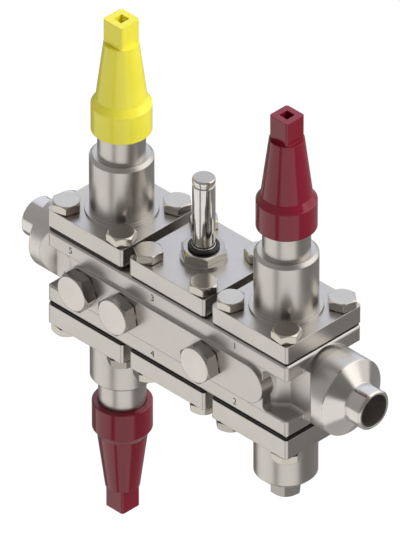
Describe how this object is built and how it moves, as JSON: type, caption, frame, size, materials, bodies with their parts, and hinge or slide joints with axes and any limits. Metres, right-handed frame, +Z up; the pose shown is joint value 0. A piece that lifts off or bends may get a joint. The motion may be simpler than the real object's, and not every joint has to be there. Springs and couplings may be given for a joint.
{
  "type": "refrigeration valve station",
  "caption": "Welded-in housing with a row of bolted function modules above and below: capped stop and regulating valves, solenoid valve, strainer and check valve.",
  "frame": {"origin": "centre of the outlet weld end's face, on the pipe axis", "axes": "+X along the pipe axis towards the inlet, -Y is the front with the side plugs, +Z up through the upper modules"},
  "size_m": [0.297, 0.08, 0.3701],
  "materials": {
    "cast_steel": "fine blasted stainless casting with a satin sheen",
    "cover_steel": "machined stainless, satin",
    "plug_steel": "machined stainless, satin",
    "bolt_steel": "bright stainless fasteners",
    "tube_steel": "polished stainless tube",
    "inner_steel": "turned stainless",
    "spring_steel": "drawn spring wire",
    "red_cap": "glossy dark red",
    "yellow_cap": "glossy yellow",
    "rubber_ring": "black rubber",
    "gasket": "dark fibre sheet and packing",
    "seal": "flat metal sealing ring"
  },
  "bodies": {
    "housing": {"housing": "cast_steel", "side_plug_1": "plug_steel", "side_plug_2": "plug_steel", "side_plug_3": "plug_steel", "side_seal_1": "seal", "side_seal_2": "seal", "side_seal_3": "seal", "gasket_1": "gasket", "gasket_2": "gasket", "gasket_3": "gasket", "gasket_4": "gasket", "gasket_5": "gasket", "gasket_6": "gasket", "bolts_1": "bolt_steel", "bolts_2": "bolt_steel", "bolts_3": "bolt_steel", "bolts_4": "bolt_steel", "bolts_5": "bolt_steel", "bolts_6": "bolt_steel", "bonnet_1": "cover_steel", "seat_1": "inner_steel", "packing_1": "gasket", "gland_1": "inner_steel", "cap_seal_1": "gasket", "bonnet_5": "cover_steel", "seat_5": "inner_steel", "packing_5": "gasket", "gland_5": "inner_steel", "cap_seal_5": "gasket", "bonnet_6": "cover_steel", "seat_6": "inner_steel", "packing_6": "gasket", "gland_6": "inner_steel", "cap_seal_6": "gasket", "strainer_cover": "cover_steel", "strainer_screen": "inner_steel", "drain_plug": "plug_steel", "drain_seal": "seal", "solenoid_flange": "cover_steel", "armature_tube": "tube_steel", "coil_ring": "rubber_ring", "armature_spring": "spring_steel", "piston_seat": "inner_steel", "piston_spring": "spring_steel", "check_cover": "cover_steel", "check_seat": "inner_steel", "check_spring": "spring_steel"},
    "cap_1": {"cap_1": "red_cap"},
    "cap_5": {"cap_5": "yellow_cap"},
    "cap_6": {"cap_6": "red_cap"},
    "valve_1": {"cone_1": "inner_steel"},
    "valve_5": {"cone_5": "inner_steel"},
    "valve_6": {"cone_6": "inner_steel"},
    "spindle_1": {"spindle_1": "inner_steel"},
    "spindle_5": {"spindle_5": "inner_steel"},
    "spindle_6": {"spindle_6": "inner_steel"},
    "armature": {"armature": "inner_steel"},
    "piston": {"piston": "inner_steel"},
    "check_disc": {"check_disc": "inner_steel"}
  },
  "joints": [
    {"name": "cap_1_lift", "type": "slide", "parent": "housing", "child": "cap_1", "axis": [0, 0, 1], "range_m": [0, 0.09]},
    {"name": "valve_1_lift", "type": "slide", "parent": "housing", "child": "valve_1", "axis": [0, 0, 1], "range_m": [0, 0.008]},
    {"name": "spindle_1_turn", "type": "hinge", "parent": "valve_1", "child": "spindle_1", "pos_m": [0.2205, 0, 0.06], "axis": [0, 0, 1], "range_deg": [0, 1440]},
    {"name": "cap_5_lift", "type": "slide", "parent": "housing", "child": "cap_5", "axis": [0, 0, 1], "range_m": [0, 0.09]},
    {"name": "valve_5_lift", "type": "slide", "parent": "housing", "child": "valve_5", "axis": [0, 0, 1], "range_m": [0, 0.008]},
    {"name": "spindle_5_turn", "type": "hinge", "parent": "valve_5", "child": "spindle_5", "pos_m": [0.0765, 0, 0.06], "axis": [0, 0, 1], "range_deg": [0, 1440]},
    {"name": "cap_6_lift", "type": "slide", "parent": "housing", "child": "cap_6", "axis": [0, 0, -1], "range_m": [0, 0.09]},
    {"name": "valve_6_lift", "type": "slide", "parent": "housing", "child": "valve_6", "axis": [0, 0, -1], "range_m": [0, 0.008]},
    {"name": "spindle_6_turn", "type": "hinge", "parent": "valve_6", "child": "spindle_6", "pos_m": [0.0765, 0, -0.06], "axis": [0, 0, -1], "range_deg": [0, 1440]},
    {"name": "armature_lift", "type": "slide", "parent": "housing", "child": "armature", "axis": [0, 0, 1], "range_m": [0, 0.0025], "stiffness_N_per_m": 300, "springref_m": -0.004, "deforming": ["armature_spring"]},
    {"name": "piston_lift", "type": "slide", "parent": "housing", "child": "piston", "axis": [0, 0, 1], "range_m": [0, 0.006], "stiffness_N_per_m": 400, "springref_m": -0.004, "deforming": ["piston_spring"]},
    {"name": "check_disc_lift", "type": "slide", "parent": "housing", "child": "check_disc", "axis": [0, 0, -1], "range_m": [0, 0.005], "stiffness_N_per_m": 400, "springref_m": -0.004, "deforming": ["check_spring"]}
  ],
  "couplings": [
    {"joint": "spindle_1_turn", "follows": "valve_1_lift", "rad_per_m": 3141.5},
    {"joint": "spindle_5_turn", "follows": "valve_5_lift", "rad_per_m": 3141.5},
    {"joint": "spindle_6_turn", "follows": "valve_6_lift", "rad_per_m": 3141.5}
  ]
}
